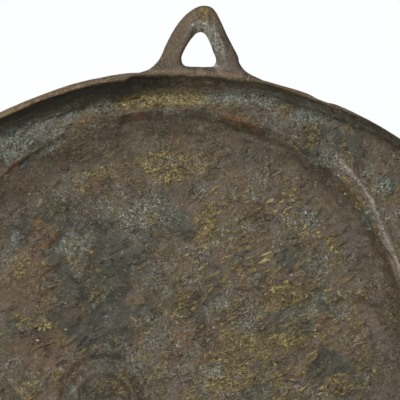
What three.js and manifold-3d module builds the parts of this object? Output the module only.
// Relief plaque: a round portrait medallion cast in bronze, hollow behind, with a cast loop to hang it by.
// Millimetres, +Z up. The modelled front faces -Y and the wall is the plane y = 0.
// The origin is the top of the loop's hole, where the nail bears.
// Plate coordinates (x, z) below are measured from the plate's centre, and a depth is measured from the wall.
import * as THREE from 'three';
import { mergeVertices } from 'three/addons/utils/BufferGeometryUtils.js';
import Module from 'manifold-3d';

// ---- plate ----
const RADIUS = 90;
const NAIL_ABOVE_CENTRE = 99.3;
const FIELD_FRONT = 8.8;          // depth of the flat field's front
const FIELD_BACK = 5.8;           // depth of the field's back, so the wall is 3 mm
const FRONT_DISC = 83.4;          // the border starts here on the front
const BACK_DISC = 85;             // the cove starts here on the back
const ROUND = 84;                 // steps round the rim
const DENT = { angle: 107.9, deep: 0.5, half: 2.6 };            // a knock on the rim's edge, degrees from +X
const BORDER = [                  // radius and depth, from the field's front over the border to the wall
  [84.2, 8.9], [85.6, 10.6], [87.2, 11.0], [89.2, 9.8], [90, 7.4], [90, 0.7], [89.7, 0],
];
const COVE = [[88.8, 0], [87.7, 2.8], [86.2, 5.6]];  // from the edge's land down to the trough
const TROUGH = { deep: 1.2, inner: 81.6, outer: 83.6 };           // a channel round the back of the field

// ---- loop ----
const LOOP_THICK = 3.5;
const LOOP_BEVEL = 0.5;
const LOOP_FOOT = 88.95;          // its underside is an arc inside the rim
const LOOP_OUTER = [              // from foot to foot over the top
  [14.6, 88.95], [9.9, 90.6], [8.3, 93], [6.4, 97.9], [4.4, 101.8], [-0.6, 104.9],
  [-4.4, 101.9], [-6.7, 97.9], [-8.7, 93], [-10.6, 90.6], [-15.2, 88.85],
];
const LOOP_HOLE = [
  [-0.1, 99.3], [-1.7, 98.3], [-3.1, 95.4], [-3.9, 92.9], [-2.9, 91.4], [-0.1, 91.35], [2.7, 91.4],
  [3.7, 92.9], [2.9, 95.4], [1.5, 98.3],
];

// ---- head, in profile to the right ----
const SKULL = { x: 0, z: 20.5, radius: 61.8, flat: 10.5, nape: 196, forehead: 40, points: 15 };
const FLATTENED = { from: 92, to: 172 };   // over these degrees the radius shrinks by `flat`
const FACE_PLANE = 51;            // x of the forehead
const CROWN = 82.5;               // z of the top of the hair
const HEAD = 122;                 // from crown to chin
const DOME = { x: 4, z: 18, wide: 74, high: 78, rise: 9.2 };     // the head's swell above the field
const SHOULDER = { over: 17, rise: 7.4 };                       // how the dome turns down to the field
const CUT_EDGE = { over: 3, rise: 2.2 };                        // and the steeper edge at its foot
const NECK_SHOULDER = { over: 9, rise: 5 };

// ---- hair, combed outwards from the whorl in long waves ----
const WHORL = [-37, 57];
const WAVE = { length: 34, swing: 0.42, turn: 2.2, ripple: 0.1, rippleLength: 6, ripples: 7 };
const HAIR_CAP = 1.6;
const LOCK = {
  rings: 12, firstRing: 2, ringSpacing: 9, spacing: 7.4, fewest: 4, steps: 6,
  length: [20, 29], width: [5.6, 8.2], rise: [1.5, 2.3], turn: [-0.22, 0.22], curl: [-0.9, 0.9],
  shorter: [1, 0.8, 0.62, 0.48],          // shares of its length that a lock tries, to end by the hairline
  overrun: 3,                             // how far a tip may pass the hairline
};

// A point of the face: so many head-heights in front of the forehead and below the crown.
const face = (ahead, below) => [FACE_PLANE + ahead * HEAD, CROWN - below * HEAD];
const PROFILE = [
  [-0.006, 0.245], [0.002, 0.30], [0.006, 0.355], [0.006, 0.405], [-0.02, 0.455], [0.016, 0.53], [0.055, 0.60],
  [0.090, 0.652], [0.080, 0.688], [0.018, 0.703], [0.018, 0.73], [0.037, 0.757], [0.014, 0.782], [0.028, 0.810],
  [-0.012, 0.852], [0.004, 0.915], [-0.018, 0.975], [-0.075, 1.0],
].map(([a, b]) => face(a, b));
const JAW = [
  [-0.17, 0.99], [-0.28, 0.955], [-0.375, 0.885], [-0.43, 0.79], [-0.47, 0.74], [-0.56, 0.775], [-0.68, 0.83],
  [-0.765, 0.81],
].map(([a, b]) => face(a, b));
const NECK = [
  [-0.08, 0.93], [-0.19, 0.985], [-0.245, 1.04], [-0.265, 1.12], [-0.24, 1.19], [-0.16, 1.255], [-0.19, 1.285],
  [-0.31, 1.305], [-0.47, 1.31], [-0.64, 1.29], [-0.775, 1.225], [-0.785, 1.18], [-0.72, 1.08], [-0.695, 0.98],
  [-0.72, 0.88], [-0.74, 0.78], [-0.60, 0.6], [-0.3, 0.6],
].map(([a, b]) => face(a, b));
const HAIRLINE = [
  [50, 58], [44, 57.5], [38, 55], [33, 50], [30.5, 44], [30, 37], [27, 31], [26, 24], [25, 15], [19, 9], [13, 8],
  [9.5, 2], [7.5, -6], [3, -8], [0, 0], [-4, 12], [-9, 19], [-16, 16], [-18, 4], [-19, -8], [-27, -17],
  [-37, -21], [-46, -18], [-62, 0], [-62, 60], [-20, 98], [30, 95], [62, 75],
];

// ---- small mathematics ----
const clamp = THREE.MathUtils.clamp;
const ease = (v, lo, hi) => THREE.MathUtils.smoothstep(v, lo, hi);
const rounded = (d, width) => Math.sqrt(Math.max(0, 1 - (1 - clamp(d / width, 0, 1)) ** 2));
const softMax = (a, b, k) => {
  const h = clamp(0.5 + 0.5 * (a - b) / k, 0, 1);
  return b * (1 - h) + a * h + k * h * (1 - h);
};
const softMin = (a, b, k) => -softMax(-a, -b, k);
// Even numbers from 0 to 1 that never repeat in a pattern, one for each count.
const scatter = (count, seed) => ((count + 1) * 0.61803399 + seed * 0.7548777) % 1;
const between = ([lo, hi], share) => lo + (hi - lo) * share;

// A smooth line through points, as points; a closed one ends where it starts.
function smoothLine(points, closed, steps) {
  const knots = points.map(([x, z]) => new THREE.Vector3(x, z, 0));
  const curve = new THREE.CatmullRomCurve3(knots, closed, 'catmullrom', 0.5);
  const count = steps * (closed ? points.length : points.length - 1);
  return curve.getPoints(count).map((p) => [p.x, p.y]);
}

// The nearest point of a line: how far off, how far along from 0 to 1, on which side, and where.
function nearest(line, x, z) {
  const best = { off: Infinity, along: 0, side: 1, x: 0, z: 0 };
  for (let i = 0; i + 1 < line.length; i++) {
    const [ax, az] = line[i];
    const dx = line[i + 1][0] - ax;
    const dz = line[i + 1][1] - az;
    const t = clamp(((x - ax) * dx + (z - az) * dz) / (dx * dx + dz * dz), 0, 1);
    const off = Math.hypot(x - ax - t * dx, z - az - t * dz);
    if (off < best.off) {
      best.off = off;
      best.along = (i + t) / (line.length - 1);
      best.side = Math.sign(dx * (z - az) - dz * (x - ax));
      best.x = ax + t * dx;
      best.z = az + t * dz;
    }
  }
  return best;
}

// Distance inside a closed line; negative outside.
function inside(line, x, z) {
  let within = false;
  for (let i = 0; i + 1 < line.length; i++) {
    const [ax, az] = line[i];
    const [bx, bz] = line[i + 1];
    if ((az > z) !== (bz > z) && x < ax + (bx - ax) * (z - az) / (bz - az)) within = !within;
  }
  return within ? nearest(line, x, z).off : -nearest(line, x, z).off;
}

// A round swelling, 1 in the middle.
function swelling(x, z, [cx, cz], rx, rz, turn = 0) {
  const a = THREE.MathUtils.degToRad(turn);
  const u = ((x - cx) * Math.cos(a) + (z - cz) * Math.sin(a)) / rx;
  const v = (-(x - cx) * Math.sin(a) + (z - cz) * Math.cos(a)) / rz;
  return Math.exp(-u * u - v * v);
}

// A bead along a line, 1 on it, fading out over the share `fade` at each end.
function bead(line, width, fade) {
  const smooth = smoothLine(line, false, 6);
  return (x, z) => {
    const n = nearest(smooth, x, z);
    return Math.exp(-((n.off / width) ** 2)) * ease(n.along, 0, fade) * ease(1 - n.along, 0, fade);
  };
}

// ---- outlines ----
function skullArc() {
  const points = [];
  for (let i = 0; i < SKULL.points; i++) {
    const degrees = THREE.MathUtils.lerp(SKULL.nape, SKULL.forehead, i / (SKULL.points - 1));
    const radius = SKULL.radius - SKULL.flat * ease(degrees, FLATTENED.from, FLATTENED.to);
    const a = THREE.MathUtils.degToRad(degrees);
    points.push([SKULL.x + radius * Math.cos(a), SKULL.z + radius * Math.sin(a)]);
  }
  return points;
}
const headLine = smoothLine([...PROFILE, ...JAW, ...skullArc()], true, 4);
const neckLine = smoothLine(NECK, true, 4);
const hairLine = smoothLine(HAIRLINE, true, 4);

// ---- features of the front, as [height, form] ----
const HEAD_FORMS = [
  [-2.2, (x, z) => swelling(x, z, face(-0.075, 0.475), 7.5, 5.5, 20)],     // eye socket
  [1.1, (x, z) => swelling(x, z, face(-0.20, 0.60), 13, 8, 15)],           // cheekbone
  [-1.3, (x, z) => swelling(x, z, face(-0.14, 0.80), 13, 12, -30)],        // hollow of the cheek
  [0.9, (x, z) => swelling(x, z, face(-0.33, 0.85), 12, 10, 20)],          // corner of the jaw
  [1.3, (x, z) => swelling(x, z, face(-0.035, 0.925), 6.5, 6)],            // chin
  [-0.8, (x, z) => swelling(x, z, face(-0.03, 0.855), 6, 3)],              // under the lip
  [0.8, (x, z) => swelling(x, z, face(-0.09, 0.30), 18, 12)],              // forehead
  [1.0, bead([face(0, 0.412), face(-0.06, 0.405), face(-0.13, 0.415), face(-0.175, 0.445)], 2.8, 0.25)], // brow
  [1.5, (x, z) => swelling(x, z, face(-0.085, 0.489), 4.6, 3.4)],          // eyeball
  [1.2, bead([face(-0.058, 0.492), face(-0.075, 0.470), face(-0.105, 0.466), face(-0.155, 0.497)], 1.4, 0.08)],
  [0.9, bead([face(-0.064, 0.505), face(-0.085, 0.514), face(-0.115, 0.513), face(-0.150, 0.499)], 1.2, 0.1)],
  [1.9, (x, z) => swelling(x, z, face(0.028, 0.668), 4.6, 3.8, -10)],      // wing of the nose
  [-1.1, bead([face(0.012, 0.630), face(-0.010, 0.652), face(-0.012, 0.683), face(0.006, 0.700)], 1.4, 0.2)],
  [0.9, bead([face(-0.012, 0.50), face(0.02, 0.57), face(0.06, 0.635)], 3.0, 0.2)],                      // bridge
  [1.5, bead([face(0.028, 0.760), face(0.004, 0.757), face(-0.030, 0.766), face(-0.055, 0.780)], 2.0, 0.15)],
  [1.6, bead([face(0.020, 0.806), face(-0.008, 0.808), face(-0.036, 0.798), face(-0.054, 0.785)], 2.2, 0.15)],
  [-1.6, bead([face(0.014, 0.782), face(-0.010, 0.780), face(-0.036, 0.783), face(-0.058, 0.783)], 1.0, 0.08)],
];
const NECK_FORMS = [
  [0.9, bead([face(-0.56, 0.80), face(-0.45, 0.98), face(-0.33, 1.13), face(-0.27, 1.21)], 4.0, 0.15)],
  [-0.8, bead([face(-0.29, 0.97), face(-0.33, 1.06), face(-0.29, 1.18)], 3.5, 0.2)],
];
const EAR = { x: -6, z: 11.5, wide: 7, high: 12.5, lean: 12, rise: 3.4 };

const sumOf = (forms, x, z) => forms.reduce((sum, [height, form]) => sum + height * form(x, z), 0);

// The ear: a tilted oval with a hollow in it, inside a raised rim that ends in a lobe.
function inEar(x, z) {
  const a = THREE.MathUtils.degToRad(EAR.lean);
  const u = ((x - EAR.x) * Math.cos(a) + (z - EAR.z) * Math.sin(a)) / EAR.wide;
  const v = (-(x - EAR.x) * Math.sin(a) + (z - EAR.z) * Math.cos(a)) / EAR.high;
  return { u, v, from: Math.hypot(u, v) };
}
function ear(x, z) {
  const { u, v, from } = inEar(x, z);
  const rim = Math.exp(-(((from - 0.8) / 0.24) ** 2)) * (1 - 0.6 * swelling(u, v, [0.9, -0.1], 0.35, 0.4));
  const lobe = swelling(u, v, [0.15, -0.8], 0.5, 0.3);
  return EAR.rise * ease(1.15 - from, 0, 0.25) * (0.4 + 0.6 * rim + 0.3 * lobe);
}

// ---- hair ----
// The way the hair lies, as an angle: outwards from the whorl, in long waves.
function flow(x, z) {
  const along = Math.hypot(x - WHORL[0], z - WHORL[1]);
  const way = Math.atan2(z - WHORL[1], x - WHORL[0]);
  const wave = WAVE.swing * Math.sin(2 * Math.PI * along / WAVE.length + WAVE.turn * way);
  return way + wave + WAVE.ripple * Math.sin(along / WAVE.rippleLength + WAVE.ripples * way);
}

// Locks in rings round the whorl. Each is a line that follows the flow, kept short of the hairline.
const clearOfEdges = (x, z) => Math.min(inside(hairLine, x, z), inside(headLine, x, z));
function combedLocks() {
  const locks = [];
  let count = 0;
  for (let ring = 0; ring < LOCK.rings; ring++) {
    const out = LOCK.firstRing + LOCK.ringSpacing * ring;
    const around = Math.max(LOCK.fewest, Math.floor(2 * Math.PI * out / LOCK.spacing));
    for (let k = 0; k < around; k++) {
      count += 1;
      const way = 2 * Math.PI * (k + 0.5 * (ring % 2) + 0.4 * scatter(count, 1) - 0.2) / around;
      const root = [WHORL[0] + out * Math.cos(way), WHORL[1] + out * Math.sin(way)];
      const lock = clearOfEdges(...root) >= 1 ? growLock(root, count) : null;
      if (lock) locks.push(lock);
    }
  }
  return locks;
}

function growLock(root, count) {
  const turn = between(LOCK.turn, scatter(count, 2));
  const curl = between(LOCK.curl, scatter(count, 3));
  for (const shorter of LOCK.shorter) {
    const step = shorter * between(LOCK.length, scatter(count, 4)) / LOCK.steps;
    const line = [root];
    let [x, z] = root;
    for (let s = 0; s < LOCK.steps; s++) {
      const a = flow(x, z) + turn + curl * (s / LOCK.steps) ** 2;
      x += Math.cos(a) * step;
      z += Math.sin(a) * step;
      line.push([x, z]);
    }
    if (clearOfEdges(x, z) > -LOCK.overrun) {
      const width = between(LOCK.width, scatter(count, 5)) * (0.75 + 0.25 * shorter);
      return { line, width, rise: between(LOCK.rise, scatter(count, 6)) };
    }
  }
  return null;
}
const LOCKS = combedLocks();

// Height of the hair over the skull: a cap with the locks laid on it.
function hair(x, z) {
  const cap = HAIR_CAP * ease(inside(hairLine, x, z), -1.5, 2.5);
  const farthest = 0.5 * LOCK.length[1] + LOCK.width[1];
  let top = 0;
  for (const lock of LOCKS) {
    const [midX, midZ] = lock.line[LOCK.steps / 2];
    if (Math.hypot(x - midX, z - midZ) > farthest) continue;
    const n = nearest(lock.line, x, z);
    const half = 0.6 * lock.width * Math.min(1, Math.sqrt(n.along / 0.25)) * (1 - n.along) ** 0.55;
    if (n.along <= 0 || n.along >= 1 || n.off >= half) continue;
    top = Math.max(top, lock.rise * (0.15 + 0.85 * ease(n.along, 0, 0.6)) * Math.sqrt(1 - (n.off / half) ** 2));
  }
  return (cap + top) * ease(inEar(x, z).from, 1.0, 1.25);
}

// ---- the two sides, as depths from the wall ----
function frontDepth(x, z) {
  const inHead = inside(headLine, x, z);
  const inNeck = inside(neckLine, x, z);
  let rise = 0;
  if (inNeck > 0) {
    const modelling = sumOf(NECK_FORMS, x, z) * rounded(inNeck, NECK_SHOULDER.rise);
    rise = NECK_SHOULDER.rise * rounded(inNeck, NECK_SHOULDER.over) + modelling;
  }
  if (inHead > 0) {
    const out = ((x - DOME.x) / DOME.wide) ** 2 + ((z - DOME.z) / DOME.high) ** 2;
    const dome = DOME.rise * Math.sqrt(Math.max(0, 1 - out));
    const edge = SHOULDER.rise * rounded(inHead, SHOULDER.over) + CUT_EDGE.rise * rounded(inHead, CUT_EDGE.over);
    const skin = softMin(edge, dome, 1.2) + sumOf(HEAD_FORMS, x, z) * ease(inHead, 0, 2.5) + ear(x, z);
    rise = Math.max(rise, skin + hair(x, z) * rounded(inHead, CUT_EDGE.over));
  }
  return FIELD_FRONT + Math.max(rise, 0);
}

// The head and neck are hollow behind: a step down at the outline, then a bowl.
const STEP = { deep: 1.6, from: -0.3, to: 1.4 };
const HEAD_BOWL = { over: 20, deep: 5.8 };
const NECK_BOWL = { over: 12, deep: 2.4 };
const CURL = { x: 20.1, z: 15.7, radius: 8.3, width: 1.5, dip: 5, below: 11, above: 17 };
const onCurl = (x, z) => Math.exp(-(((Math.hypot(x - CURL.x, z - CURL.z) - CURL.radius) / CURL.width) ** 2));
// Forms that stand up in the hollow, as [height, form].
const HOLLOW_FORMS = [
  [1.3, (x, z) => onCurl(x, z) * ease(z, CURL.below, CURL.above)],         // curl at the temple
  [-1.2, (x, z) => swelling(x, z, [CURL.x, CURL.z], CURL.dip, CURL.dip)],
  [0.7, bead([[20.6, 54.5], [23.6, 46], [27.2, 34.5]], 1.8, 0.2)],         // edge of the hair
  [0.9, bead([[-30, 40], [-34, 43], [-39, 43], [-45, 40]], 2.0, 0.2)],     // curls at the back of the head
  [1.2, (x, z) => swelling(x, z, [-40.5, 26], 4.4, 4.4)],
  [0.8, bead([[-36, 65.5], [-42, 57], [-46.5, 46], [-48.5, 34]], 1.3, 0.15)],                            // lip
];

function backDepth(x, z) {
  const r = Math.hypot(x, z);
  const trough = TROUGH.deep * ease(r, TROUGH.inner, TROUGH.outer);
  const inHead = inside(headLine, x, z);
  const inNeck = inside(neckLine, x, z);
  const head = STEP.deep * ease(inHead, STEP.from, STEP.to) + HEAD_BOWL.deep * rounded(inHead, HEAD_BOWL.over);
  const neck = STEP.deep * ease(inNeck, STEP.from, STEP.to) + NECK_BOWL.deep * rounded(inNeck, NECK_BOWL.over);
  return FIELD_BACK + trough + softMax(head, neck, 0.8) - sumOf(HOLLOW_FORMS, x, z) * ease(inHead, -2, 1);
}

// ---- the plate's skin ----
const points = [];
const faces = [];
const addPoint = (x, depth, z) => points.push([x, -depth, z]) - 1;

// Joins two rings of points that both run anticlockwise from the +X side, seen from the front.
function stitch(from, to) {
  const turnOf = (ring, k) => (k < ring.length ? angleOf(ring[k]) : 2 * Math.PI);
  for (let i = 0, j = 0; i < from.length || j < to.length;) {
    const here = from[i % from.length];
    const there = to[j % to.length];
    const stepTo = i >= from.length || (j < to.length && turnOf(to, j + 1) <= turnOf(from, i + 1));
    if (stepTo) {
      j += 1;
      faces.push([here, there, to[j % to.length]]);
    } else {
      i += 1;
      faces.push([here, there, from[i % from.length]]);
    }
  }
}
const angleOf = (k) => (Math.atan2(points[k][2], points[k][0]) + 2 * Math.PI) % (2 * Math.PI);

// One side of the plate is squares over a disc, halved until none is wider than cellAt wants or over twice its
// neighbour. The outer rows are bent round to the circle.
const SQUARES = 112;
const LARGEST = 8;
const THINNEST = 0.25;            // least area of a face in plan
const edgesOf = (i, j, s) => [
  { from: [i, j], middle: [i + s / 2, j], across: [i, j - 1], across2: [i + s - 1, j - 1] },
  { from: [i + s, j], middle: [i + s, j + s / 2], across: [i + s, j], across2: [i + s, j + s - 1] },
  { from: [i + s, j + s], middle: [i + s / 2, j + s], across: [i + s - 1, j + s], across2: [i, j + s] },
  { from: [i, j + s], middle: [i, j + s / 2], across: [i - 1, j + s - 1], across2: [i - 1, j] },
];

function onPlate(disc, i, j) {
  const u = 2 * i / SQUARES - 1;
  const v = 2 * j / SQUARES - 1;
  const m = Math.max(Math.abs(u), Math.abs(v));
  const bend = m === 0 ? 1 : 1 - m + m * m / Math.hypot(u, v);
  return [disc * u * bend, disc * v * bend];
}

function halvedSquares(disc, cellAt) {
  const unit = 2 * disc / SQUARES;
  const sizes = new Int8Array(SQUARES * SQUARES).fill(LARGEST);
  const sizeAt = ([i, j]) => (Math.min(i, j) < 0 || Math.max(i, j) >= SQUARES ? LARGEST : sizes[i * SQUARES + j]);
  const each = (visit) => {
    for (let i = 0; i < SQUARES; i++) {
      for (let j = 0; j < SQUARES; j++) {
        const s = sizes[i * SQUARES + j];
        if (i % s === 0 && j % s === 0) visit(i, j, s);
      }
    }
  };
  let halved = true;
  const halve = (i, j, s) => {
    for (let a = i; a < i + s; a++) sizes.fill(s / 2, a * SQUARES + j, a * SQUARES + j + s);
    halved = true;
  };
  for (let size = LARGEST; size > 1; size /= 2) {
    each((i, j, s) => {
      if (s === size && cellAt(...onPlate(disc, i + s / 2, j + s / 2), s * unit) < s * unit) halve(i, j, s);
    });
  }
  while (halved) {
    halved = false;
    each((i, j, s) => {
      const finest = Math.min(...edgesOf(i, j, s).flatMap((e) => [sizeAt(e.across), sizeAt(e.across2)]));
      if (finest < s / 2) halve(i, j, s);
    });
  }
  return { unit, sizeAt, each };
}

// The faces over the squares, with the corners near an outline drawn onto it. Adds them to the skin with their
// depths, and returns the side's edge as a ring.
function side(disc, depthAt, cellAt, outlines, facesFront) {
  const { unit, sizeAt, each } = halvedSquares(disc, cellAt);
  const corners = new Map();
  const cornerAt = ([i, j]) => {
    const key = i * 1000 + j;
    if (!corners.has(key)) {
      const [x, z] = onPlate(disc, i, j);
      const corner = { x, z, homeX: x, homeZ: z, onEdge: Math.min(i, j) === 0 || Math.max(i, j) === SQUARES };
      const smallest = Math.min(...[[i, j], [i - 1, j], [i, j - 1], [i - 1, j - 1]].map(sizeAt));
      for (const line of corner.onEdge ? [] : outlines) {
        const n = nearest(line, x, z);
        if (n.off < 0.45 * unit * smallest) Object.assign(corner, { x: n.x, z: n.z });
      }
      corners.set(key, corner);
    }
    return corners.get(key);
  };

  const triangles = [];
  each((i, j, s) => {
    const rim = [];
    for (const edge of edgesOf(i, j, s)) {
      rim.push(cornerAt(edge.from));
      if (sizeAt(edge.across) < s) rim.push(cornerAt(edge.middle));
    }
    if (rim.length > 4) {
      const middle = cornerAt([i + s / 2, j + s / 2]);
      rim.forEach((corner, k) => triangles.push([middle, corner, rim[(k + 1) % rim.length]]));
    } else {
      const [a, b, c, d] = rim;
      const gap = (p, q) => Math.hypot(p.x - q.x, p.z - q.z, depthAt(p.x, p.z) - depthAt(q.x, q.z));
      triangles.push(...(gap(a, c) <= gap(b, d) ? [[a, b, c], [a, c, d]] : [[a, b, d], [b, c, d]]));
    }
  });

  // A face pressed too thin lets the corner that moved most go home.
  const area = ([a, b, c]) => 0.5 * ((b.x - a.x) * (c.z - a.z) - (b.z - a.z) * (c.x - a.x));
  const moved = (p) => Math.hypot(p.x - p.homeX, p.z - p.homeZ);
  for (let thin = true; thin;) {
    thin = false;
    for (const triangle of triangles) {
      const most = triangle.reduce((p, q) => (moved(q) > moved(p) ? q : p));
      if (area(triangle) < THINNEST && moved(most) > 0) {
        Object.assign(most, { x: most.homeX, z: most.homeZ });
        thin = true;
      }
    }
  }

  const all = [...corners.values()];
  for (const corner of all) corner.point = addPoint(corner.x, depthAt(corner.x, corner.z), corner.z);
  for (const [a, b, c] of triangles.map((corner) => corner.map((p) => p.point))) {
    faces.push(facesFront ? [a, b, c] : [a, c, b]);
  }
  const ring = all.filter((corner) => corner.onEdge).map((corner) => corner.point);
  return ring.sort((p, q) => angleOf(p) - angleOf(q));
}

// A ring of points at one radius and depth. The dent presses in only the outermost ones.
function ringAt(radius, depth) {
  const ring = [];
  for (let k = 0; k < ROUND; k++) {
    const degrees = k * 360 / ROUND;
    const dent = DENT.deep * Math.exp(-(((degrees - DENT.angle) / DENT.half) ** 2)) * ease(radius, 88, 90);
    const a = THREE.MathUtils.degToRad(degrees);
    ring.push(addPoint((radius - dent) * Math.cos(a), depth, (radius - dent) * Math.sin(a)));
  }
  return ring;
}

// The largest square wanted at a place: small on what is carved, large on the plain field.
const CELL = { face: 1.6, carved: 3.1, plain: 6.1, field: 12.2 };
const FACE_PLACES = [face(-0.1, 0.49), face(0.0, 0.78), face(0.02, 0.67)];   // eye, mouth and nose
function frontCell(x, z, size) {
  const inHead = inside(headLine, x, z);
  const inNeck = inside(neckLine, x, z);
  if (FACE_PLACES.some(([cx, cz]) => Math.hypot(x - cx, z - cz) < 5)) return CELL.face;
  if (inHead > -0.6 * size) {
    const plain = inHead > 14 && inside(hairLine, x, z) < -3 && inEar(x, z).from > 1.3;
    return plain ? CELL.plain : CELL.carved;
  }
  if (inNeck < -0.6 * size) return CELL.field;
  return inNeck < 0.6 * size ? CELL.carved : CELL.plain;
}
function backCell(x, z, size) {
  const inHead = inside(headLine, x, z);
  const inNeck = inside(neckLine, x, z);
  const onForm = sumOf(HOLLOW_FORMS.map(([, form]) => [1, form]), x, z) > 0.2;
  if (onForm || Math.abs(inHead) < 0.6 * size) return CELL.carved;
  if (inHead > 0 || Math.hypot(x, z) > TROUGH.inner - 0.7 * size) return CELL.plain;
  if (inNeck < -0.6 * size) return CELL.field;
  return inNeck < 0.6 * size ? CELL.carved : CELL.plain;
}

function plateGeometry() {
  let ring = side(FRONT_DISC, frontDepth, frontCell, [headLine, neckLine], true);
  for (const [radius, depth] of [...BORDER, ...COVE]) {
    const next = ringAt(radius, depth);
    stitch(ring, next);
    ring = next;
  }
  stitch(ring, side(BACK_DISC, backDepth, backCell, [headLine, neckLine], false));
  const geometry = new THREE.BufferGeometry();
  geometry.setAttribute('position', new THREE.Float32BufferAttribute(points.flat(), 3));
  geometry.setIndex(faces.flat());
  return geometry;
}

// ---- the loop ----
function loopGeometry() {
  const shape = new THREE.Shape(smoothLine(LOOP_OUTER, false, 3).map(([x, z]) => new THREE.Vector2(x, z)));
  const first = LOOP_OUTER[0];
  const last = LOOP_OUTER[LOOP_OUTER.length - 1];
  shape.absarc(0, 0, LOOP_FOOT, Math.atan2(last[1], last[0]), Math.atan2(first[1], first[0]), true);
  const hole = smoothLine(LOOP_HOLE, true, 2).slice(1).map(([x, z]) => new THREE.Vector2(x, z));
  shape.holes.push(new THREE.Path(hole));
  const geometry = new THREE.ExtrudeGeometry(shape, {
    depth: LOOP_THICK - 2 * LOOP_BEVEL,
    bevelThickness: LOOP_BEVEL,
    bevelSize: LOOP_BEVEL,
    bevelOffset: -LOOP_BEVEL,
    bevelSegments: 1,
    curveSegments: 8,
  });
  geometry.translate(0, 0, LOOP_BEVEL);
  geometry.rotateX(Math.PI / 2);
  return geometry;
}

// ---- one casting ----
const wasm = await Module();
wasm.setup();

function toSolid(geometry) {
  geometry.deleteAttribute('normal');
  geometry.deleteAttribute('uv');
  const merged = mergeVertices(geometry, 1e-3);
  const mesh = new wasm.Mesh({
    numProp: 3,
    vertProperties: new Float32Array(merged.attributes.position.array),
    triVerts: new Uint32Array(merged.index.array),
  });
  return new wasm.Manifold(mesh);
}

function toGeometry(solid) {
  const { vertProperties, triVerts } = solid.getMesh();
  const geometry = new THREE.BufferGeometry();
  geometry.setAttribute('position', new THREE.BufferAttribute(vertProperties, 3));
  geometry.setIndex(new THREE.BufferAttribute(triVerts, 1));
  geometry.computeVertexNormals();
  return geometry;
}

const bronze = new THREE.MeshStandardMaterial({ color: 0x5f5547, roughness: 0.55, metalness: 0.7 });
const casting = toSolid(plateGeometry()).add(toSolid(loopGeometry()));
const plaque = new THREE.Mesh(toGeometry(casting), bronze);
plaque.name = 'plaque';
plaque.position.z = -NAIL_ABOVE_CENTRE;

const part = new THREE.Group();
part.add(plaque);
export default part;
